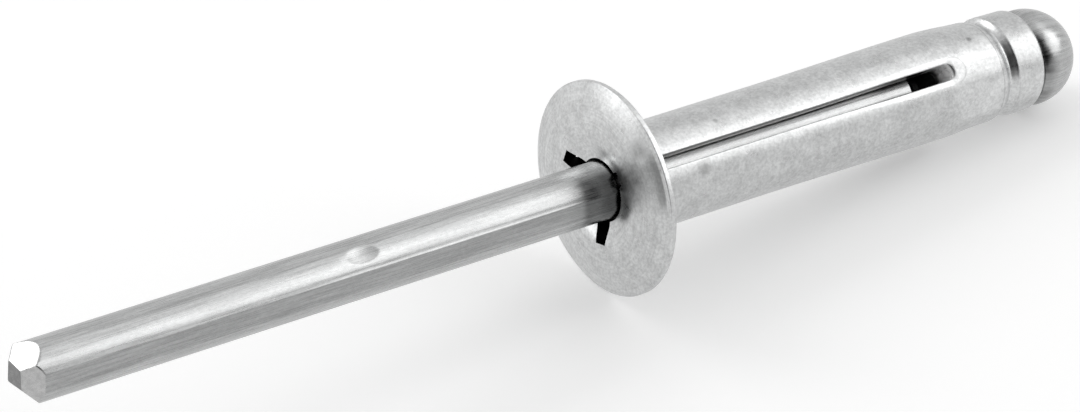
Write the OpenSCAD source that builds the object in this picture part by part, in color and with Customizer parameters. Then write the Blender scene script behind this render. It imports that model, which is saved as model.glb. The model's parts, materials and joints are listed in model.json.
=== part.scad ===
// Blind rivet with three lengthwise slots, not yet set, with its mandrel through it.
// Each piece is drawn about the rivet's own axis and then laid down on its side.
// Along that axis, stations count from the flange's bearing face: plus towards the blind end,
// minus towards the mandrel's tip.
// Around it, clock angles count from straight up, turning towards the front (-Y).

/* [Shank] */
// Diameter of the shank behind the flange
shank_d = 5.2; // [4.8:0.1:5.3]
// Length of the shank from the flange's bearing face to its blind end
shank_len = 25.03; // [23:0.01:30]
// Clearance all round between the mandrel's stem and the bore
bore_gap = 0.17; // [0.1:0.01:0.25]
// Largest diameter, where the slots end
swell_d = 5.38; // [5.2:0.02:5.6]
// Length over which the shank swells
swell_run = 11; // [8:0.5:13]
// Diameter where the shank has narrowed again, at the crimp groove
neck_d = 5.12; // [5:0.02:5.3]

/* [Flange] */
// Diameter of the flange
flange_d = 10.6; // [9.5:0.1:12]
// Height of the flange at its crown
flange_h = 0.78; // [0.6:0.02:1.2]
// Thickness of the flange's rounded rim
rim_t = 0.25; // [0.15:0.01:0.4]
// Diameter of the ring where the flange stands highest
crown_d = 5.6; // [5:0.1:6.5]
// Height of the flange at the edge of the bore
lip_h = 0.46; // [0.4:0.02:0.75]
// Rounding of the bore's edge
lip_round = 0.05; // [0.03:0.01:0.1]

/* [Slots] */
// Number of slots
slot_count = 3; // [2:1:4]
// Width of a slot
slot_w = 0.8; // [0.5:0.05:1]
// Clock angle of the first slot
slot_clock = 43; // [0:1:119]
// Length of unslotted shank beyond the slots
solid_len = 5.6; // [5:0.1:8]
// Slope of a slot's end, measured from the axis
slot_ramp = 65; // [50:1:80]
// Width of the broken edge along a slot
slot_lip = 0.07; // [0.03:0.01:0.15]
// Depth of the dish pressed round a slot's end
dish_depth = 0.13; // [0.05:0.01:0.2]
// Radius of the ball that presses the dish
dish_r = 4; // [2:0.5:8]
// How far from the axis the first slot's notch reaches into the flange
near_notch_r = 1.84; // [1.8:0.02:2.9]
// How far from the axis the other slots' notches reach into the flange
far_notch_r = 2.64; // [1.8:0.02:2.9]
// Width of a notch at its outer end
notch_w = 0.7; // [0.5:0.05:0.8]
// How steeply a notch widens towards the axis, measured from its middle line
notch_flare = 8; // [0:1:27]

/* [Crimp] */
// Distance from the blind end to the groove's edge nearest the flange
crimp_from_end = 2.68; // [2.4:0.02:3]
// Width of the crimp groove
crimp_w = 1.2; // [0.9:0.05:1.4]
// Depth of the crimp groove
crimp_depth = 0.22; // [0.1:0.02:0.4]
// Diameter of the collar where it leaves the groove
collar_d = 5.14; // [5:0.02:5.2]
// Diameter of the collar at the blind end
collar_end_d = 5.06; // [4.94:0.02:5.1]
// Rounding of the collar's end
collar_round = 0.2; // [0.05:0.05:0.25]
// How far the crimp bites into the mandrel
bite = 0.12; // [0.05:0.01:0.2]
// Radius of the bead that bites
bead_r = 0.6; // [0.4:0.05:0.8]

/* [Mandrel] */
// Diameter of the stem
stem_d = 2.86; // [2.6:0.02:2.9]
// Length of the stem in front of the bearing face
stem_len = 32.9; // [28:0.1:40]
// Clock angles of the four faces of the stem's point: upper, front, lower and back
point_clocks = [1, 80, 160, 268]; // [-45:1:300]
// Distances of the four faces from the axis at the very tip, as shares of the stem's radius
point_shares = [0.51, 0.5, 0.18, 0.26]; // [0.1:0.01:0.9]
// Slopes of the four faces, measured from the axis
point_slopes = [30, 36, 47, 48]; // [20:1:75]
// Depth of the flat along the stem
flat_depth = 0.07; // [0.03:0.01:0.2]
// Clock angle of the flat
flat_clock = 82; // [60:1:120]
// Distance from the bearing face to the gripping mark on the stem
mark_from_face = 14.77; // [10:0.01:20]
// Depth of the gripping mark
mark_depth = 0.08; // [0.03:0.01:0.12]
// Radius of the tool that left the gripping mark
mark_r = 4.25; // [3:0.25:6]
// Clock angle of the gripping mark
mark_clock = 29; // [10:1:50]
// Diameter of the weak point where the stem breaks
break_d = 1.9; // [1.5:0.1:2.2]
// Length of the weak point
break_len = 0.3; // [0.2:0.1:0.6]
// Slope of the two cones beside the weak point, measured from the axis
break_slope = 45; // [40:1:60]
// Clearance between the mandrel's plug and the bore
plug_gap = 0.03; // [0.02:0.01:0.05]
// Distance from the blind end back to the start of the plug
plug_len = 6.05; // [5.5:0.05:7]
// Diameter of the mandrel's head
head_d = 4.84; // [4.4:0.02:4.9]
// Diameter of the head where it sits on the shank's blind end
head_seat_d = 4.56; // [4.2:0.02:4.84]
// Length of the head's side, from its seat to the dome
head_side = 0.77; // [0.5:0.01:1.5]

/* [Hidden] */
$fn = 96;
past = 1;                 // how far a cut runs past the surface that it opens
tuck = 0.1;               // how far a flange's notch runs on into the slot behind it
arc_steps = 5;            // straight steps in a small rounding
curve_steps = 12;         // straight steps in a long curve
valley = 0.6;             // share of the groove's width at which it is deepest
shank_r = shank_d / 2;
swell_r = swell_d / 2;
neck_r = neck_d / 2;
flange_r = flange_d / 2;
crown_r = crown_d / 2;
collar_r = collar_d / 2;
collar_end_r = collar_end_d / 2;
stem_r = stem_d / 2;
bore_r = stem_r + bore_gap;
break_r = break_d / 2;
plug_r = bore_r - plug_gap;
head_r = head_d / 2;
head_seat_r = head_seat_d / 2;
rim_r = rim_t / 2;
slot_end = shank_len - solid_len;
crimp_start = shank_len - crimp_from_end;
crimp_s = crimp_start + crimp_w * valley;
dome_s = shank_len + head_side;
bead_ring_r = bore_r - bite + bead_r;
plug_start = shank_len - plug_len;
break_start = plug_start - (plug_r - break_r) / tan(break_slope) - break_len;
stem_end = break_start - (stem_r - break_r) / tan(break_slope);

// How steeply the rivet lies: its flange's rim and the first part of its blind end touch the ground.
// Each of the three is a circle in the side view, given by distance from the axis, station and radius.
rim_circle = [flange_r - rim_r, -rim_r, rim_r];
dome_circle = [0, dome_s, head_r];
collar_circle = [collar_end_r - collar_round, shank_len - collar_round, collar_round];
function lean(front, back) =
    acos((back[2] - front[2]) / norm([front[0] - back[0], front[1] - back[1]]))
    - atan2(back[1] - front[1], front[0] - back[0]);
tilt = min(lean(rim_circle, dome_circle), lean(rim_circle, collar_circle));

// Points of an arc about a centre, from one angle to another
function arc(centre, radius, from, to) =
    [for (i = [0 : arc_steps]) let (a = from + (to - from) * i / arc_steps)
        centre + radius * [cos(a), sin(a)]];

// A smooth step from 0 to 1
function ease(u) = u * u * (3 - 2 * u);

// Depth of the crimp groove across its width: a kink at its start, a valley, a soft way out
function groove_depth(u) = crimp_depth *
    (u < valley ? sin(90 * u / valley) : 1 - ease((u - valley) / (1 - valley)));

// Lays a piece drawn along +Z down on its side, blind end towards +X and lower than the flange
module lay() {
    rotate([0, 90 + tilt, 0]) rotate([0, 0, 180]) children();
}

// Outline of the flange: bearing face, rounded rim, crowned face and dished middle
module flange_outline() {
    crown_slope = atan(2 * (flange_h - rim_t) / (flange_r - crown_r));
    rim = arc([flange_r - rim_r, -rim_r], rim_r, 90, crown_slope - 90);
    rim_end = rim[arc_steps];
    crown = [for (i = [1 : curve_steps - 1]) let (u = 1 - i / curve_steps)
        [crown_r + (rim_end[0] - crown_r) * u, -flange_h + (flange_h + rim_end[1]) * u * u]];
    dish_in = bore_r + lip_round;
    dish = [for (i = [0 : arc_steps]) let (u = i / arc_steps)
        [crown_r + (dish_in - crown_r) * u, -flange_h + (flange_h - lip_h) * ease(u)]];
    lip = arc([dish_in, lip_round - lip_h], lip_round, -90, -180);
    polygon(concat([[bore_r, 0]], rim, crown, dish, [for (i = [1 : arc_steps]) lip[i]]));
}

// Outline of the shank: straight, swelling, narrowing, crimp groove and collar
module shank_outline() {
    swelling = [for (i = [0 : curve_steps]) let (u = i / curve_steps)
        [shank_r + (swell_r - shank_r) * ease(u), slot_end - swell_run * (1 - u)]];
    narrowing = [for (i = [1 : curve_steps]) let (u = i / curve_steps)
        [swell_r - (swell_r - neck_r) * ease(u), slot_end + (crimp_start - slot_end) * u]];
    groove = [for (i = [1 : curve_steps]) let (u = i / curve_steps)
        [neck_r + (collar_r - neck_r) * u - groove_depth(u), crimp_start + crimp_w * u]];
    end_turn = arc([collar_end_r - collar_round, shank_len - collar_round], collar_round, 0, 90);
    polygon(concat([[bore_r, 0], [shank_r, 0]], swelling, narrowing, groove, end_turn,
        [[bore_r, shank_len]]));
}

// The bead that the crimp raises inside the bore, or with a gap the waist that it bites into
module crimp_bead(gap) {
    rotate_extrude() translate([bead_ring_r, crimp_s]) circle(r = bead_r + gap);
}

// A slot's notch through the flange, wider towards the axis
module notch_cut(reach) {
    root_x = bore_r / 2;
    root_w = notch_w + 2 * (reach - root_x) * tan(notch_flare);
    translate([0, 0, -flange_h - past]) linear_extrude(flange_h + past + tuck)
        polygon([[root_x, -root_w / 2], [reach, -notch_w / 2],
            [reach, notch_w / 2], [root_x, root_w / 2]]);
}

// One slot through the shank's wall, its sloping round end, its broken edges and its dish
module slot_cut() {
    reach = swell_r + past;
    shift = slot_w / 2 / sin(slot_ramp);
    end_at_axis = slot_end - swell_r / tan(slot_ramp) - shift;
    end_at_reach = end_at_axis + reach / tan(slot_ramp);
    lip_reach = reach - shank_r + slot_lip;
    rotate([90, 0, 0]) linear_extrude(slot_w, center = true)
        polygon([[0, 0], [reach, 0], [reach, end_at_reach], [0, end_at_axis]]);
    translate([0, 0, end_at_axis]) rotate([0, slot_ramp, 0])
        cylinder(h = reach / sin(slot_ramp), d = slot_w);
    translate([swell_r + dish_r - dish_depth, 0, slot_end - slot_w / 2]) sphere(r = dish_r);
    linear_extrude(slot_end - slot_w)
        polygon([[shank_r - slot_lip, -slot_w / 2], [reach, -slot_w / 2 - lip_reach],
            [reach, slot_w / 2 + lip_reach], [shank_r - slot_lip, slot_w / 2]]);
}

// The slotted sleeve and its flange, one turned and slotted piece
module rivet_body() {
    color([0.79, 0.8, 0.81]) lay() difference() {
        union() {
            rotate_extrude() flange_outline();
            rotate_extrude() shank_outline();
            intersection() {
                crimp_bead(0);
                translate([0, 0, crimp_s - bead_r]) cylinder(h = 2 * bead_r, r = bore_r + plug_gap);
            }
        }
        for (i = [0 : slot_count - 1]) rotate([0, 0, slot_clock + 360 / slot_count * i]) {
            slot_cut();
            notch_cut(i == 0 ? near_notch_r : far_notch_r);
        }
    }
}

// The stem's point: four sheared faces, each at its own slope, that leave a small blunt end
module point_cut() {
    for (i = [0 : 3])
        rotate([0, 0, point_clocks[i]]) translate([point_shares[i] * stem_r, 0, -stem_len])
            rotate([0, point_slopes[i], 0]) translate([0, -stem_d, -stem_d])
                cube([stem_d, 2 * stem_d, 3 * stem_d]);
}

// Outline of the wire: stem, weak point between two cones, plug and the head's side
module wire_outline() {
    polygon([[0, -stem_len], [stem_r, -stem_len], [stem_r, stem_end], [break_r, break_start],
        [break_r, break_start + break_len], [plug_r, plug_start], [plug_r, shank_len],
        [head_seat_r, shank_len], [head_r, dome_s], [0, dome_s]]);
}

// Pointed stem, weak point, plug and domed head: one headed wire
module mandrel() {
    color([0.74, 0.75, 0.77]) lay() {
        difference() {
            rotate_extrude() wire_outline();
            point_cut();
            rotate([0, 0, flat_clock]) translate([stem_r - flat_depth, -stem_r, -stem_len - past])
                cube([stem_r, stem_d, stem_len + break_start + past]);
            rotate([0, 0, mark_clock]) translate([stem_r + mark_r - mark_depth, 0, -mark_from_face])
                sphere(r = mark_r);
            crimp_bead(plug_gap);
        }
        translate([0, 0, dome_s]) intersection() {
            sphere(r = head_r);
            cylinder(h = head_r + past, r = head_r + past);
        }
    }
}

rivet_body();
mandrel();
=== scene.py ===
import bpy
import bmesh
import json
import math
from mathutils import Matrix, Vector


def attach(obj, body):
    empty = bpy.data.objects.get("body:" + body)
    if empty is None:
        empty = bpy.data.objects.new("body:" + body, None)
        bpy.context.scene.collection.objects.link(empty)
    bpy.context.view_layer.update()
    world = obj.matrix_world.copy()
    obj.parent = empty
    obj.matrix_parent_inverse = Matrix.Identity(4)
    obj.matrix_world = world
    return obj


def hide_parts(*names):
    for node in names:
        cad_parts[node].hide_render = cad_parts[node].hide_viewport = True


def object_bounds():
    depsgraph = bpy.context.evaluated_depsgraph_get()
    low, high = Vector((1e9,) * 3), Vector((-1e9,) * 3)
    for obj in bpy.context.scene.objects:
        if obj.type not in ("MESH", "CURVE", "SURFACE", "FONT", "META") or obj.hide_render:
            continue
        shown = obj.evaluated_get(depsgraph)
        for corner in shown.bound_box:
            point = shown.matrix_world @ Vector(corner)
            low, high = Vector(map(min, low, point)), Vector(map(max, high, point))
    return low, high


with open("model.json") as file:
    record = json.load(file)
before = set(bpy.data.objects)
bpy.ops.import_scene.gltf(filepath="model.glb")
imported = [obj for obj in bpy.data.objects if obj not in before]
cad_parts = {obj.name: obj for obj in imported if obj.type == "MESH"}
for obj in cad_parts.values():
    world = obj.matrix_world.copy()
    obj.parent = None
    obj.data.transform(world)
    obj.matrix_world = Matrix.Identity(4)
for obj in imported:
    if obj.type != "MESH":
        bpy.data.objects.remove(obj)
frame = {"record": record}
cad_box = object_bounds()

# Sizes in mm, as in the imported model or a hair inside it. Stations s count along the rivet's
# axis from the flange's bearing face, plus towards the blind end. Clock angles count from
# straight up, turning towards the front.
MM = 0.001

SHANK_R, SHANK_LEN, BORE_R = 2.6, 25.03, 1.6
SWELL_R, SWELL_RUN = 2.69, 11.0
NECK_ROUND = 0.14
COLLAR_END_R, COLLAR_ROUND = 2.53, 0.2
BORE_ROWS = (24.9, 23.6, 22.6, 20.5, 19, 17, 14, 11, 8, 5, 2, 0.4, -0.3)

FLANGE_R, FLANGE_H, CROWN_R = 5.285, 0.78, 2.8
RIM_T, RIM_ROUND = 0.3, 0.045
HOLE_R, LIP_H, LIP_ROUND = 1.55, 0.46, 0.03

# The crimp groove's outline as (station, radius)
GROOVE = [(22.23, 2.562), (22.32, 2.552), (22.4, 2.536), (22.51, 2.51), (22.62, 2.468), (22.74, 2.4),
          (22.84, 2.352), (22.92, 2.342), (23.02, 2.38), (23.14, 2.46), (23.24, 2.535), (23.32, 2.568)]
# The crimp's deeper bites: clock, half-width in radians, station, half-length, depth
BITES = [(150, 0.75, 23.3, 0.36, 0.14), (-50, 0.6, 22.9, 0.3, 0.05)]
BITE_FROM = 22.2
LEAN, LEAN_FROM, LEAN_RUN = 0.08, 20.6, 2.2
HEAD_LEAN, HEAD_LEAN_FROM, HEAD_LEAN_RUN = 0.11, 24.95, 0.3

SLOT_W, SLOT_END, SLOT_RAMP = 0.8, 19.43, math.radians(65)
SLOT_C = SLOT_END - SLOT_W / 2
SLOT_CLOCKS = [math.radians(43 + 120 * i) for i in range(3)]
SLOT_FOOT_R, SLOT_TOP_R = 0.95, 3.9
SLOT_LIP, SLOT_LIP_GROWTH, SLOT_LIP_TURN, SLOT_FLARE = 0.06, 0.03, math.radians(75), 0.35
FAR_SLOT_PINCH = 0.2
DISH, DISH_HALF, DISH_C, DISH_REACH = 0.055, 0.64, 19.5, 0.35
DISH_FROM, DISH_TO = 7.9, 20.3

NEAR_NOTCH_R, FAR_NOTCH_R, NOTCH_ROOT_R = 1.84, 2.64, 1.2
NOTCH_HALF, NOTCH_FLARE = 0.35, math.radians(8)

STEM_R, STEM_LEN = 1.43, 32.9
FLAT_CLOCK, FLAT = math.radians(82), STEM_R - 0.07
FLAT_EDGE = FLAT_CLOCK - math.acos(FLAT / STEM_R)
# The point's facets: clock, reach at the tip, slope and softness of the edge
POINT = [(math.radians(clock), STEM_R * share, math.tan(math.radians(slope)), soft)
         for clock, share, slope, soft
         in ((1, 0.51, 30, 0.025), (80, 0.5, 36, 0.008), (171, 0.22, 45.8, 0.025), (268, 0.26, 48, 0.2))]
POINT_CORNERS = [math.radians(clock) for clock in (40, 105, 112, 118, 123, 223, 320)]
MARK_CLOCK, MARK_S, MARK_R, MARK_DEPTH = math.radians(29), -14.77, 4.5, 0.095

STEM_END, PLUG_R, BREAK_R = 17.5, 1.57, 0.95
HEAD_R, HEAD_SIDE, HEAD_BARREL = 2.419, 0.68, 1.8
HEAD_SEAT_R, HEAD_FACE, HEAD_ROUND = 2.13, 25.05, 0.06
DOME = SHANK_LEN + HEAD_SIDE

# Dark marks on the sleeve: clock, station, size, depth
SLEEVE_MARKS = ((61.5, 3.8, 0.55, 0.3), (15.5, 5.5, 0.2, 0.35), (13.5, 21.3, 0.22, 0.5))
# Painted shade lines round the sleeve beside the groove: station, depth
SLEEVE_LINES = ((22.34, 0.24), (23.33, 0.14))

axis = Vector(next(m["axis"] for m in frame["record"]["mounts"] if m["name"] == "shank"))
side = Vector((0, -1, 0))
up = side.cross(axis)
LAY = Matrix((up, side, axis)).transposed().to_4x4()


def ease(u):
    """A smooth step from 0 to 1 while u goes from 0 to 1."""
    u = min(max(u, 0.0), 1.0)
    return u * u * (3 - 2 * u)


def wrap(a):
    """The angle a between minus and plus half a turn."""
    return (a + math.pi) % (2 * math.pi) - math.pi


def soft_min(a, b, k):
    """The lower of a and b, blended where they are less than k apart."""
    h = max(k - abs(a - b), 0.0) / k
    return min(a, b) - h * h * k * 0.25


def spline(points, s):
    """Smooth curve through rising (s, value) points."""
    for i in range(len(points) - 1):
        if s <= points[i + 1][0] or i == len(points) - 2:
            break
    (s0, a), (s1, b) = points[i], points[i + 1]

    def slope(j):
        if j == 0 or j == len(points) - 1:
            return 0.0
        d0 = (points[j][1] - points[j - 1][1]) / (points[j][0] - points[j - 1][0])
        d1 = (points[j + 1][1] - points[j][1]) / (points[j + 1][0] - points[j][0])
        return 0.0 if d0 * d1 <= 0 else 2 * d0 * d1 / (d0 + d1)

    h = s1 - s0
    u = min(max((s - s0) / h, 0.0), 1.0)
    return ((2 * u ** 3 - 3 * u ** 2 + 1) * a + (u ** 3 - 2 * u ** 2 + u) * h * slope(i)
            + (-2 * u ** 3 + 3 * u ** 2) * b + (u ** 3 - u ** 2) * h * slope(i + 1))


def arc(centre_r, centre_s, radius, start, end, count):
    """Points of an arc in the plane of radius and station."""
    points = []
    for i in range(count):
        a = start + (end - start) * i / (count - 1)
        points.append((centre_r + radius * math.cos(a), centre_s + radius * math.sin(a)))
    return points


def make(name, verts, faces):
    """A mesh object from points in the rivet's own axes, laid down as it rests."""
    mesh = bpy.data.meshes.new(name)
    mesh.from_pydata([(x * MM, y * MM, z * MM) for x, y, z in verts], [], faces)
    bm = bmesh.new()
    bm.from_mesh(mesh)
    bmesh.ops.recalc_face_normals(bm, faces=bm.faces)
    bm.to_mesh(mesh)
    bm.free()
    mesh.transform(LAY)
    obj = bpy.data.objects.new(name, mesh)
    bpy.context.scene.collection.objects.link(obj)
    return obj


def dress(obj, materials, choice):
    """Gives the object its materials; choice maps a material's number to its faces."""
    for material in materials:
        obj.data.materials.append(material)
    for number, chosen in choice.items():
        for i in chosen:
            obj.data.polygons[i].material_index = number


def cut(obj, cutter):
    """Takes the cutter out of the object and deletes it."""
    mod = obj.modifiers.new("cut", "BOOLEAN")
    mod.operation = "DIFFERENCE"
    mod.solver = "EXACT"
    mod.object = cutter
    graph = bpy.context.evaluated_depsgraph_get()
    mesh = bpy.data.meshes.new_from_object(obj.evaluated_get(graph), depsgraph=graph)
    obj.modifiers.remove(mod)
    old = obj.data
    obj.data = mesh
    bpy.data.meshes.remove(old)
    bpy.data.objects.remove(cutter)


# Camera at the photograph's angle

AZ, EL = math.radians(35.8647), math.radians(36.3848)
AIM, DISTANCE = Vector((-4.0026, 0.0, 0.6462)), 260.70
look = Vector((math.sin(AZ) * math.cos(EL), math.cos(AZ) * math.cos(EL), -math.sin(EL)))
cam_data = bpy.data.cameras.new("camera")
cam_data.lens = 185.626
cam_data.sensor_width = 36
cam_data.clip_start = 0.01
cam = bpy.data.objects.new("camera", cam_data)
bpy.context.scene.collection.objects.link(cam)
cam.location = AIM * MM - look * DISTANCE * MM
cam.rotation_euler = look.to_track_quat("-Z", "Y").to_euler()
bpy.context.scene.camera = cam


# Sleeve

def lean(s):
    """The crimped end leans a little to the front."""
    return LEAN * ease((s - LEAN_FROM) / LEAN_RUN)


def squeeze(a, s):
    """The crimp's jaws press deeper on two sides of the groove."""
    depth = 0.0
    for clock, half, middle, length, bite in BITES:
        turn = wrap(a - math.radians(clock))
        depth += bite * math.exp(-((s - middle) / length) ** 2) * math.exp(-(turn / half) ** 2)
    return depth


def dish_fade(s):
    """The dish beside a slot deepens from station 8 on, over 10 mm."""
    return ease((s - 8) / 10)


def dish(s, y):
    """How deep the metal is pressed in beside a slot, at tangential distance y from its middle."""
    d_slot = abs(y) - SLOT_W / 2 if s < SLOT_C else math.hypot(s - SLOT_C, y) - SLOT_W / 2
    d_edge = abs(y) - DISH_HALF if s < DISH_C else math.hypot(s - DISH_C, y) - DISH_HALF
    if d_edge >= 0:
        return 0.0
    d_slot = max(d_slot, 0.0)
    q = d_slot / (d_slot - d_edge)
    return DISH * dish_fade(s) * (1 - q) ** 1.5


def shank_radius(s):
    """The shank's plain radius, from the flange over the swell and the groove to the collar."""
    if s < SLOT_END:
        return SHANK_R + (SWELL_R - SHANK_R) * ease((s - SLOT_END + SWELL_RUN) / SWELL_RUN)
    if s < GROOVE[0][0]:
        return SWELL_R - (SWELL_R - GROOVE[0][1]) * ease((s - SLOT_END) / (GROOVE[0][0] - SLOT_END))
    if s < GROOVE[-1][0]:
        return spline(GROOVE, s)
    u = (s - GROOVE[-1][0]) / (SHANK_LEN - COLLAR_ROUND - GROOVE[-1][0])
    return GROOVE[-1][1] + (COLLAR_END_R - GROOVE[-1][1]) * u


def shank_surface(a, s, base):
    """The shank's radius with the dishes beside the slots and the crimp's bites."""
    r = base
    if DISH_FROM < s < DISH_TO:
        for clock in SLOT_CLOCKS:
            turn = wrap(a - clock)
            if abs(turn) < DISH_REACH:
                r -= dish(s, base * turn)
    if s > BITE_FROM:
        r -= squeeze(a, s)
    return r


def shank_rows():
    """Stations of the shank's rings, closer where its form changes."""
    rows = [0.14 + 0.2 * i for i in range(1, 85)]
    s = rows[-1]
    while s < 22.2:
        s += 0.08 if s < 20.4 else 0.15
        rows.append(s)
    rows = [s for s in rows if s < 22.21]
    rows += [22.23 + 0.045 * i for i in range(29)]
    rows += [23.55, 23.62, 23.7, 23.8, 23.9, 24.05, 24.25, 24.5, 24.7]
    return rows


def flange_outline():
    """(radius, station) points from the hole's lip over the face and the rim back to the shank."""
    edge_r = HOLE_R + LIP_ROUND
    points = arc(edge_r, LIP_ROUND - LIP_H, LIP_ROUND, math.pi, 1.5 * math.pi, 4)
    for i in range(1, 10):
        u = i / 10
        points.append((edge_r + (CROWN_R - edge_r) * u, -LIP_H - (FLANGE_H - LIP_H) * ease(u)))
    slope = math.atan(2 * (FLANGE_H - RIM_T) / (FLANGE_R - CROWN_R))
    rim = arc(FLANGE_R - RIM_ROUND, RIM_ROUND - RIM_T, RIM_ROUND, slope - math.pi / 2, 0, 6)
    end_r, end_s = rim[0]
    for i in range(20):
        u = i / 20
        points.append((CROWN_R + (end_r - CROWN_R) * u, -FLANGE_H + (FLANGE_H + end_s) * u * u))
    points += rim
    points += arc(FLANGE_R - RIM_ROUND, -RIM_ROUND, RIM_ROUND, 0, math.pi / 2, 6)
    points += [(r, 0.0) for r in (4.6, 4.0, 3.4, 2.9)]
    points += arc(SHANK_R + NECK_ROUND, NECK_ROUND, NECK_ROUND, -math.pi / 2, -math.pi, 4)
    return points


def collar_end():
    """(radius, station) points round the collar's edge and in to the bore."""
    points = arc(COLLAR_END_R - COLLAR_ROUND, SHANK_LEN - COLLAR_ROUND, COLLAR_ROUND, 0, math.pi / 2, 7)
    return points + [(2.0, SHANK_LEN), (BORE_R + 0.08, SHANK_LEN)]


def uneven_end(a, r):
    """The collar's edge doesn't end square."""
    return 0.07 * math.cos(a + 0.17) - 0.01 if r > 2.3 else 0.0


def sleeve_grid(n=288):
    """The closed sleeve as rings of n points, and the numbers of the faces in its bore."""
    angles = [2 * math.pi * j / n for j in range(n)]
    rings = []
    for r, s in [(BORE_R, s) for s in BORE_ROWS] + flange_outline():
        rings.append([(r, s)] * n)
    for s in shank_rows():
        base = shank_radius(s)
        rings.append([(shank_surface(a, s, base), s) for a in angles])
    for r, s in collar_end():
        rings.append([(r, s + uneven_end(a, r)) for a in angles])
    verts = []
    for ring in rings:
        for a, (r, s) in zip(angles, ring):
            verts.append((r * math.cos(a), r * math.sin(a) + lean(s), s))
    count = len(rings)
    faces = []
    for i in range(count):
        k = (i + 1) % count
        for j in range(n):
            m = (j + 1) % n
            faces.append((i * n + j, i * n + m, k * n + m, k * n + j))
    in_bore = len(BORE_ROWS) - 1
    bore_faces = set(range(in_bore * n)) | set(range((count - 1) * n, count * n))
    return verts, faces, bore_faces


def turned(clock, x, y, s):
    """A point at x outwards and y sideways of the clock angle."""
    return (x * math.cos(clock) - y * math.sin(clock), x * math.sin(clock) + y * math.cos(clock), s)


def slot_half(s, pinch):
    """Half a slot's width: a little narrower in its front half, and pinched beside the flange."""
    return SLOT_W / 2 - 0.05 * (1 - ease((s - 11) / 6)) - pinch * (1 - ease(s / 4))


def slot_path(pinch):
    """Points round a slot's outline: station, sideways place, and the outward direction there."""
    half = SLOT_W / 2
    steps = 60
    stations = [SLOT_C * i / steps for i in range(steps)]
    path = [(s, -slot_half(s, pinch), 0.0, -1.0) for s in stations]
    for i in range(25):
        a = math.radians(-90 + 180 * i / 24)
        path.append((SLOT_C + half * math.cos(a), half * math.sin(a), math.cos(a), math.sin(a)))
    return path + [(s, slot_half(s, pinch), 0.0, 1.0) for s in reversed(stations)]


def slot_wall(surface, lip):
    """(outward step, depth) from the slot's foot up its wall, round the lip and past the surface."""
    wall = [(0.0, surface - SLOT_FOOT_R)]
    for i in range(6):
        a = SLOT_LIP_TURN * i / 5
        wall.append((lip - lip * math.cos(a), lip - lip * math.sin(a)))
    step, depth = wall[-1]
    past = (step + SLOT_FLARE * math.sin(SLOT_LIP_TURN), depth - SLOT_FLARE * math.cos(SLOT_LIP_TURN))
    return wall + [past, past]


def slot_cutter(clock, pinch, verts, faces, walls):
    """A slot's hollow, whose rounded lips follow the sleeve's surface."""
    path = slot_path(pinch)
    m = len(path)
    start = len(verts)
    levels = 9
    for level in range(levels):
        for s, y, ns, ny in path:
            surface = shank_radius(min(s, SLOT_END)) - DISH * dish_fade(s)
            step, depth = slot_wall(surface, SLOT_LIP + SLOT_LIP_GROWTH * dish_fade(s))[level]
            py = y + ny * step
            ps = s + ns * step - max(depth, 0.0) / math.tan(SLOT_RAMP) * min(s / 5, 1.0)
            px = SLOT_TOP_R if level == levels - 1 else math.sqrt((surface - depth) ** 2 - py * py)
            verts.append(turned(clock, px, py, ps))
    for level in range(levels - 1):
        for j in range(m):
            k = (j + 1) % m
            a, b = start + level * m, start + (level + 1) * m
            if level == 0:
                walls.add(len(faces))
            faces.append((a + j, a + k, b + k, b + j))
    # Caps as strips across the slot
    for base in (start, start + (levels - 1) * m):
        for j in range(m // 2):
            a, b = base + j, base + j + 1
            c, d = base + m - 2 - j, base + m - 1 - j
            if b == c:
                faces.append((a, b, d))
            elif b < c:
                faces.append((a, b, c, d))


def notch_cutter(clock, reach, verts, faces):
    """The slot's mouth through the flange, wider towards the hole."""
    wide = NOTCH_HALF + (reach - NOTCH_ROOT_R) * math.tan(NOTCH_FLARE)
    start = len(verts)
    for s in (-1.6, 0.1):
        for x, y in ((NOTCH_ROOT_R, -wide), (reach, -NOTCH_HALF), (reach, NOTCH_HALF), (NOTCH_ROOT_R, wide)):
            verts.append(turned(clock, x, y, s))
    faces += [(start, start + 1, start + 2, start + 3), (start + 4, start + 5, start + 6, start + 7)]
    for j in range(4):
        k = (j + 1) % 4
        faces.append((start + j, start + k, start + 4 + k, start + 4 + j))


def build_sleeve():
    materials = (sleeve_metal(), inside_metal())
    verts, faces, bore_faces = sleeve_grid()
    sleeve = make("sleeve", verts, faces)
    dress(sleeve, materials, {1: bore_faces})
    verts, faces, walls = [], [], set()
    for i, clock in enumerate(SLOT_CLOCKS):
        slot_cutter(clock, FAR_SLOT_PINCH if i else 0.0, verts, faces, walls)
    cutter = make("slot_cutter", verts, faces)
    dress(cutter, materials, {1: walls})
    cut(sleeve, cutter)
    verts, faces = [], []
    for i, clock in enumerate(SLOT_CLOCKS):
        notch_cutter(clock, FAR_NOTCH_R if i else NEAR_NOTCH_R, verts, faces)
    cutter = make("notch_cutter", verts, faces)
    dress(cutter, materials, {1: range(len(faces))})
    cut(sleeve, cutter)
    return sleeve


# Mandrel: every cross-section is seen whole from the axis, so its radius is a plain function

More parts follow.
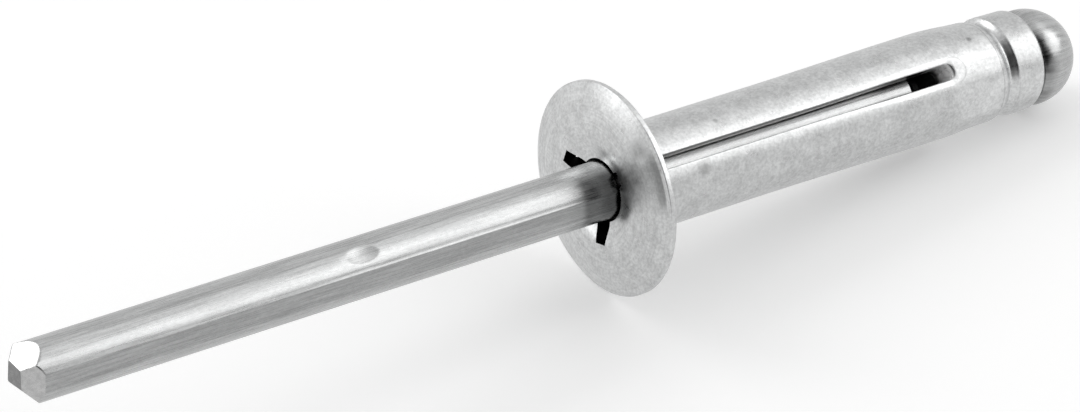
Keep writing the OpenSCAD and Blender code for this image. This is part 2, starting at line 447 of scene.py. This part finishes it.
def stem_radius(a, s):
    """The stem's radius with its flat, burr line, pointed tip and gripping mark."""
    r = STEM_R
    c = math.cos(a - FLAT_CLOCK)
    if c > 0.5:
        r = soft_min(r, FLAT / c, 0.012)
    turn = wrap(a - FLAT_EDGE)
    burr = 0.3 + 0.7 * ease((s + 21) / 8)
    r += burr * (0.013 * math.exp(-(turn / 0.045) ** 2) - 0.012 * math.exp(-((turn + 0.1) / 0.055) ** 2))
    for clock, tip_reach, slope, soft in POINT:
        reach = tip_reach + (s + STEM_LEN) * slope
        c = math.cos(a - clock)
        if reach < STEM_R + 0.1 and c > 0.15:
            r = soft_min(r, reach / c, soft)
    if abs(s - MARK_S) < 1.1:
        c, d = math.cos(a - MARK_CLOCK), math.sin(a - MARK_CLOCK)
        centre = STEM_R + MARK_R - MARK_DEPTH
        inside = MARK_R ** 2 - (centre * d) ** 2 - (s - MARK_S) ** 2
        if c > 0.5 and inside > 0:
            r = soft_min(r, centre * c - math.sqrt(inside), 0.01)
    return r


def stem_angles():
    """Even angles, with more beside the edges of the flat and of the point's facets."""
    edge = math.acos(FLAT / STEM_R)
    angles = [2 * math.pi * i / 168 for i in range(168)]
    for corner in (FLAT_CLOCK - edge, FLAT_CLOCK + edge):
        angles += [corner + d for d in (-0.06, -0.03, -0.012, 0.004, 0.012, 0.03, 0.06)]
    for clock in POINT_CORNERS:
        angles += [clock + d for d in (-0.06, -0.035, -0.012, 0.003, 0.012, 0.035, 0.06)]
    angles = sorted(a % (2 * math.pi) for a in angles)
    kept = [angles[0]]
    for a in angles[1:]:
        if a - kept[-1] > 0.004:
            kept.append(a)
    return kept


def stem_rows(angles):
    """The stem as (radii, station) rows, from its tip to its broken end."""
    tip = [stem_radius(a, -STEM_LEN) for a in angles]
    rows = [([r * share for r in tip], -STEM_LEN) for share in (0.35, 0.7, 0.93, 0.985)]
    s = -STEM_LEN + 0.012
    while s < -STEM_LEN + 1.3:
        rows.append(([stem_radius(a, s) for a in angles], s))
        s += 0.035
    while s < STEM_END - 0.1:
        rows.append(([stem_radius(a, s) for a in angles], s))
        s += 0.07 if abs(s - MARK_S) < 1.0 else 0.4
    return rows


def weak_point():
    """(radius, station) points from the stem's broken end over the neck to the plug."""
    return [(STEM_R, STEM_END), (STEM_R - 0.03, STEM_END + 0.03), (BREAK_R, STEM_END + 0.53),
            (BREAK_R, STEM_END + 0.83), (PLUG_R, STEM_END + 1.48)]


def head_outline():
    """(radius, station) points from the plug under the head and over its dome."""
    points = [(PLUG_R, 21.0), (PLUG_R, HEAD_FACE - 0.05)]
    points += [(r, HEAD_FACE) for r in (1.7, 1.9, HEAD_SEAT_R)]
    for i in range(1, 6):
        a = math.radians(65 * i / 5)
        points.append((HEAD_SEAT_R + HEAD_ROUND * math.sin(a),
                       HEAD_FACE + HEAD_ROUND - HEAD_ROUND * math.cos(a)))
    for i in range(1, 12):
        s = HEAD_FACE + 0.05 + (DOME - HEAD_FACE - 0.05) * i / 12
        points.append((HEAD_R * math.sqrt(1 - ((DOME - s) / HEAD_BARREL) ** 2), s))
    return points + arc(0.0, DOME, HEAD_R, 0, math.radians(87.6), 31)


def mandrel_lean(s):
    """The mandrel leans with the sleeve's end, and its head sits a little off centre."""
    return lean(s) + HEAD_LEAN * ease((s - HEAD_LEAN_FROM) / HEAD_LEAN_RUN)


def mandrel_grid():
    """The closed mandrel, and the numbers of its dark faces and of those on its point."""
    angles = stem_angles()
    n = len(angles)
    rows = stem_rows(angles)
    dark = range(len(rows), len(rows) + len(weak_point()) - 1)
    rows += [([r] * n, s) for r, s in weak_point() + head_outline()]
    verts = []
    for radii, s in rows:
        for a, r in zip(angles, radii):
            verts.append((r * math.cos(a), r * math.sin(a) + mandrel_lean(s), s))
    faces, darks, points = [], set(), set()
    for i in range(len(rows) - 1):
        radii, s = rows[i]
        for j in range(n):
            k = (j + 1) % n
            on_flat = radii[j] * math.cos(angles[j] - FLAT_CLOCK) > FLAT - 0.02
            if i in dark:
                darks.add(len(faces))
            if s < -31.0 and min(radii[j], radii[k]) < STEM_R - 0.02 and not on_flat:
                points.add(len(faces))
            faces.append((i * n + j, i * n + k, (i + 1) * n + k, (i + 1) * n + j))
    for base, s in ((0, -STEM_LEN), ((len(rows) - 1) * n, DOME + HEAD_R)):
        pole = len(verts)
        verts.append((0.0, mandrel_lean(s), s))
        for j in range(n):
            if s < 0:
                points.add(len(faces))
            faces.append((base + j, base + (j + 1) % n, pole))
    return verts, faces, darks, points


def build_mandrel():
    verts, faces, darks, points = mandrel_grid()
    mandrel = make("mandrel_wire", verts, faces)
    dress(mandrel, (stem_metal(), stem_dark(), point_metal()), {1: darks, 2: points})
    return mandrel


# Materials

class Graph:
    """Short names for building shader nodes."""

    def __init__(self, tree):
        self.tree = tree

    def put(self, value, socket):
        if isinstance(value, bpy.types.NodeSocket):
            self.tree.links.new(value, socket)
        else:
            socket.default_value = value

    def fill(self, values, node):
        for value, socket in zip(values, node.inputs):
            self.put(value, socket)
        return node.outputs[0]

    def math(self, op, a, b=0.0):
        node = self.tree.nodes.new("ShaderNodeMath")
        node.operation = op
        return self.fill((a, b), node)

    def times(self, first, *others):
        for other in others:
            first = self.math("MULTIPLY", first, other)
        return first

    def less(self, level, mask):
        """The level as it is where the mask is 0, down to black where it is 1."""
        return self.math("MULTIPLY", level, self.math("SUBTRACT", 1.0, mask))

    def off(self, value, middle):
        """How far the value is from the middle."""
        return self.math("ABSOLUTE", self.math("SUBTRACT", value, middle))

    def remap(self, value, a, b, c=0.0, d=1.0):
        """Runs smoothly from c to d while the value goes from a to b."""
        node = self.tree.nodes.new("ShaderNodeMapRange")
        node.interpolation_type = "SMOOTHSTEP"
        return self.fill((value, a, b, c, d), node)

    def vector(self, x, y, z):
        return self.fill((x, y, z), self.tree.nodes.new("ShaderNodeCombineXYZ"))

    def dot(self, vector, direction):
        node = self.tree.nodes.new("ShaderNodeVectorMath")
        node.operation = "DOT_PRODUCT"
        self.fill((vector, direction), node)
        return node.outputs["Value"]

    def distance(self, vector, place):
        node = self.tree.nodes.new("ShaderNodeVectorMath")
        node.operation = "DISTANCE"
        self.fill((vector, place), node)
        return node.outputs["Value"]

    def noise(self, vector, scale=1.0, detail=3.0, rough=0.5):
        node = self.tree.nodes.new("ShaderNodeTexNoise")
        node.inputs["Scale"].default_value = scale
        node.inputs["Detail"].default_value = detail
        node.inputs["Roughness"].default_value = rough
        self.put(vector, node.inputs["Vector"])
        return node.outputs["Fac"]

    def between(self, noise, low, high):
        """The noise stretched to run from low to high."""
        return self.remap(noise, 0.3, 0.7, low, high)

    def grey(self, level, tint=(1.0, 1.0, 1.0)):
        return self.fill([self.times(level, t) for t in tint], self.tree.nodes.new("ShaderNodeCombineColor"))

    def bump(self, height, strength, distance):
        node = self.tree.nodes.new("ShaderNodeBump")
        node.inputs["Strength"].default_value = strength
        node.inputs["Distance"].default_value = distance * MM
        self.put(height, node.inputs["Height"])
        return node.outputs["Normal"]


class Surface(Graph):
    """A graph for a metal on the rivet, with its own axes x, y, z and p in mm, turn and radius r."""

    def __init__(self, name):
        mat = bpy.data.materials.new(name)
        mat.use_nodes = True
        super().__init__(mat.node_tree)
        self.mat = mat
        self.bsdf = mat.node_tree.nodes["Principled BSDF"]
        self.bsdf.inputs["Metallic"].default_value = 1.0
        place = self.tree.nodes.new("ShaderNodeTexCoord").outputs["Object"]
        self.x, self.y, self.z = [self.dot(place, direction * 1000) for direction in (up, side, axis)]
        self.p = self.vector(self.x, self.y, self.z)
        self.turn = self.math("ARCTAN2", self.y, self.x)
        self.r = self.math("SQRT", self.math("ADD", self.times(self.x, self.x), self.times(self.y, self.y)))

    def around(self, across, along, radius):
        """Coordinates that stretch a pattern along the axis: across and along in 1/mm."""
        return self.vector(self.times(self.math("COSINE", self.turn), radius * across),
                           self.times(self.math("SINE", self.turn), radius * across),
                           self.times(self.z, along))

    def spot(self, clock, s, radius, size):
        """1 in a soft spot on the surface, 0 away from it."""
        a = math.radians(clock)
        place = (radius * math.cos(a), radius * math.sin(a), s)
        return self.remap(self.distance(self.p, place), size * 0.2, size, 1.0, 0.0)

    def finish(self, color, roughness, normal=None):
        self.put(color, self.bsdf.inputs["Base Color"])
        self.put(roughness, self.bsdf.inputs["Roughness"])
        if normal is not None:
            self.put(normal, self.bsdf.inputs["Normal"])
        return self.mat


def painted_sleeve_shade(g):
    """Mask of painted shade in the crease round the slot's end and along the groove's lines, and of a
    painted dark reflection on the flange's crown near the rim.
    """
    slot_end = (SWELL_R * math.cos(SLOT_CLOCKS[0]), SWELL_R * math.sin(SLOT_CLOCKS[0]), DISH_C)
    ring = g.off(g.distance(g.p, slot_end), DISH_HALF + 0.02)
    crease = g.times(g.remap(ring, 0.0, 0.07, 0.28, 0.0), g.remap(g.z, 19.2, 19.9))
    for place, depth in SLEEVE_LINES:
        crease = g.math("MAXIMUM", crease, g.remap(g.off(g.z, place), 0.01, 0.05, depth, 0.0))
    rim = g.times(g.remap(g.r, 4.3, 4.95, 0.0, 0.5), g.remap(g.z, -0.34, -0.38),
                  g.remap(g.turn, 0.55, 0.85), g.remap(g.turn, 1.35, 1.1))
    return g.math("MAXIMUM", crease, rim)


def inner_lips(g):
    """Mask of painted shade on the lips inside the hole and on the far slots' lips, which get no light."""
    inner = g.times(g.remap(g.z, 0.1, 0.0), g.remap(g.z, -0.453, -0.44), g.remap(g.r, 2.72, 2.66))
    far = g.times(g.remap(g.z, 4.0, 3.0), g.remap(g.z, -0.1, 0.0), g.remap(g.r, 2.597, 2.59),
                  g.remap(g.off(g.turn, 0.75), 0.9, 1.0))
    return g.math("MAXIMUM", inner, far)


def sleeve_metal():
    """Tumbled aluminium, mottled, with faint turning rings on the flange, and painted light and shade on the
    blind end, in the creases, near the rim and on the inner lips.
    """
    g = Surface("sleeve_metal")
    fine = g.noise(g.p, 6.0, 5.0, 0.65)
    blotch = g.noise(g.p, 1.3, 4.0, 0.6)
    streak = g.noise(g.around(5.0, 0.7, SHANK_R), 1.0, 3.0, 0.5)
    level = g.times(g.between(fine, 0.84, 1.1), g.between(blotch, 0.9, 1.07))
    for clock, s, size, depth in SLEEVE_MARKS:
        level = g.less(level, g.times(g.spot(clock, s, 2.63, size), depth))
    level = g.times(level, g.remap(g.z, 0.0, -0.1, 1.0, 1.07), g.remap(g.z, 23.2, 23.4, 1.0, 0.96))
    # Painted light and shade on the blind end: lighter at its side and darker on its top, where the
    # highlight falls
    painted_highlight_shift = g.math("SUBTRACT", g.remap(g.off(g.turn, 1.5), 0.25, 0.45, 0.17, 0.0),
                  g.remap(g.off(g.turn, 0.82), 0.12, 0.4, 0.13, 0.0))
    level = g.times(level, g.math("ADD", 1.0, g.times(painted_highlight_shift, g.remap(g.z, 19.0, 20.0))))
    rings = g.noise(g.vector(g.times(g.r, 7.0), 0.0, g.turn), 1.0, 3.0, 0.6)
    rings = g.times(g.between(rings, -0.09, 0.05), g.remap(g.z, 0.0, -0.1))
    level = g.times(level, g.math("ADD", 1.0, rings))
    # Painted shade in the creases and a painted dark reflection near the rim
    level = g.less(level, painted_sleeve_shade(g))
    # A mottled painted dark reflection on the flange's crown near the rim
    patch = g.times(g.spot(34, -0.56, 4.4, 0.7), g.remap(fine, 0.35, 0.65, 0.05, 0.4))
    level = g.less(level, patch)
    # The lips inside the hole and the far slots' lips are painted near black as shade
    level = g.times(0.66, g.less(level, g.times(inner_lips(g), 0.95)))
    roughness = g.math("ADD", g.between(blotch, 0.28, 0.36), g.between(streak, -0.03, 0.03))
    dents = g.math("ADD", g.times(blotch, 2.2), fine)
    return g.finish(g.grey(level, (0.99, 1.0, 1.0)), roughness, g.bump(dents, 0.35, 0.012))


def inside_metal():
    """The bore and the slots' walls, with painted shade that darkens them with depth and a painted highlight
    on the near slot's end.
    """
    g = Surface("sleeve_inside")
    fine = g.noise(g.p, 6.0, 3.0, 0.5)
    # Painted shade: darker towards the walls' outer edges, beside the flange and past station 15
    level = g.times(g.remap(g.r, 1.6, 2.3, 0.95, 0.42), g.remap(g.z, 0.4, 3.0, 0.3, 1.0),
                    g.remap(g.z, 15.0, 16.4, 1.0, 0.12))
    # A painted highlight on the near slot's end wall
    slot_end = g.times(g.remap(g.z, 17.9, 18.4, 0.0, 0.95), g.remap(g.turn, 0.7, 0.95, 0.9, 1.6),
                       g.remap(g.r, 1.7, 1.95))
    level = g.math("ADD", level, slot_end)
    # Near black in the flange's notches and the bore's mouth, as painted shade
    level = g.times(level, g.remap(g.z, 0.1, 0.5, 0.04, 1.0), g.between(fine, 0.75, 1.25))
    return g.finish(g.grey(level), g.between(fine, 0.4, 0.55))


def stem_metal():
    """Drawn aluminium with lines along it, with painted shade towards the hole and on the head's base beside
    the collar.
    """
    g = Surface("stem_metal")
    line = g.noise(g.around(11.0, 0.35, STEM_R), 1.0, 4.0, 0.6)
    broad = g.noise(g.around(2.6, 0.25, STEM_R), 1.0, 2.0, 0.5)
    fine = g.noise(g.around(9.0, 4.0, STEM_R), 1.0, 3.0, 0.6)
    level = g.times(g.between(line, 0.84, 1.1), g.between(broad, 0.92, 1.06), g.between(fine, 0.93, 1.05))
    across = g.math("ADD", g.times(g.x, math.cos(FLAT_CLOCK)), g.times(g.y, math.sin(FLAT_CLOCK)))
    flat = g.times(g.remap(across, FLAT - 0.012, FLAT - 0.004), g.remap(g.z, 20.0, 18.0))
    level = g.times(level, g.math("SUBTRACT", 0.545, g.times(flat, 0.11)))
    # Painted shade on the stem beside the flange, black where it goes into the hole
    shade = g.math("ADD", g.remap(g.z, -2.65, -2.15, 0.0, 0.48), g.remap(g.z, -1.7, -0.9, 0.0, 0.2))
    shade = g.times(shade, g.remap(g.turn, 0.1, 0.5))
    shade = g.math("MAXIMUM", shade, g.remap(g.z, -0.5, -0.455, 0.0, 0.96))
    level = g.less(level, g.times(shade, g.remap(g.z, 0.5, 0.1)))
    # Painted shade on the head's base beside the collar, streaked and varying round it
    streaks = g.noise(g.around(3.0, 0.3, STEM_R), 1.0, 3.0, 0.6)
    sides = g.remap(g.off(g.turn, 1.1), 0.1, 0.7, 1.1, 0.2)
    sides = g.math("ADD", sides, g.remap(g.off(g.turn, 1.95), 0.3, 0.6, 0.6, 0.0))
    sides = g.math("ADD", sides, g.remap(g.turn, -0.1, -0.4, 0.0, 0.4))
    head_base_shade = g.times(g.remap(g.z, 26.1, 25.2), g.remap(g.z, 24.9, 25.0), sides)
    level = g.less(level, g.times(head_base_shade, g.between(streaks, 0.3, 0.75)))
    return g.finish(g.grey(level, (0.99, 1.0, 1.0)), g.between(line, 0.22, 0.34), g.bump(line, 0.5, 0.012))


def point_metal():
    """The cut facets of the point, darker on the tip's end."""
    g = Surface("stem_point")
    fine = g.noise(g.p, 4.0, 4.0, 0.6)
    level = g.times(g.remap(g.z, 0.02 - STEM_LEN, 0.004 - STEM_LEN, 0.54, 0.26), g.between(fine, 0.85, 1.12))
    return g.finish(g.grey(level), g.between(fine, 0.2, 0.3), g.bump(fine, 0.3, 0.02))


def stem_dark():
    """The broken end and the neck of the weak point, painted near black as the shade deep in the sleeve."""
    g = Surface("stem_break_shade")
    fine = g.noise(g.p, 5.0, 3.0, 0.5)
    return g.finish(g.grey(g.between(fine, 0.015, 0.03)), g.between(fine, 0.5, 0.6))


# Pieces

SHARP = {"rivet_body": 38, "mandrel": 26}

for piece, node in ((build_sleeve(), "rivet_body"), (build_mandrel(), "mandrel")):
    for p in piece.data.polygons:
        p.use_smooth = True
    piece.data.set_sharp_from_angle(angle=math.radians(SHARP[node]))
    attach(piece, "root")
    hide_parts(node)


# Floor and light

def floor_white():
    """A pale floor that looks white to the camera and darker in the metal, and keeps its shadow."""
    mat = bpy.data.materials.new("floor_white")
    mat.use_nodes = True
    g = Graph(mat.node_tree)
    bsdf = g.tree.nodes["Principled BSDF"]
    path = g.tree.nodes.new("ShaderNodeLightPath")
    glossy = path.outputs["Is Glossy Ray"]
    seen = g.math("MAXIMUM", path.outputs["Is Camera Ray"], glossy)
    seen = g.math("MAXIMUM", seen, path.outputs["Is Transmission Ray"])
    strength = g.math("ADD", g.times(seen, 0.27), g.times(glossy, 0.34))
    g.put(strength, bsdf.inputs["Emission Strength"])
    g.put(g.grey(g.math("SUBTRACT", 0.88, g.times(glossy, 0.6))), bsdf.inputs["Base Color"])
    bsdf.inputs["Emission Color"].default_value = (1, 1, 1, 1)
    bsdf.inputs["Roughness"].default_value = 1.0
    bsdf.inputs["Specular IOR Level"].default_value = 0.0
    return mat


def softbox(name, direction, distance, width, height, radiance):
    """A soft rectangular light aimed at the rivet, with its distance and size in metres."""
    data = bpy.data.lights.new(name, "AREA")
    data.shape = "RECTANGLE"
    data.size = width
    data.size_y = height
    data.energy = radiance * math.pi * width * height
    obj = bpy.data.objects.new(name, data)
    bpy.context.scene.collection.objects.link(obj)
    d = Vector(direction).normalized()
    obj.location = d * distance
    obj.rotation_euler = d.to_track_quat("Z", "Y").to_euler()


bpy.ops.mesh.primitive_plane_add(size=3, location=(0, 0, cad_box[0][2]))
floor = bpy.context.object
floor.name = "floor"
floor.data.materials.append(floor_white())

softbox("key", (0.70, -0.45, 0.55), 0.45, 0.34, 0.34, 1.19)
softbox("over", (0.62, 0.08, 0.78), 0.5, 0.24, 0.24, 0.42)
softbox("end", (0.84, -0.2, 0.5), 0.5, 0.16, 0.16, 0.9)
softbox("back", (-0.25, 0.73, 0.63), 0.5, 0.26, 0.26, 2.4)
softbox("left", (-0.77, 0.63, -0.02), 0.5, 0.15, 0.3, 1.8)

# An even white studio with one dark side, which the metal reflects
DARK_SIDE = Vector((-0.28, -0.70, 0.655)).normalized()
world = bpy.data.worlds.new("studio")
bpy.context.scene.world = world
world.use_nodes = True
sky = Graph(world.node_tree)
backdrop = sky.tree.nodes["Background"]
towards = sky.tree.nodes.new("ShaderNodeTexCoord").outputs["Generated"]
sky.put(sky.remap(sky.dot(towards, DARK_SIDE), 0.66, 0.88, 0.77, 0.04), backdrop.inputs["Strength"])
backdrop.inputs["Color"].default_value = (1, 1, 1, 1)

bpy.context.scene.view_settings.view_transform = "Standard"
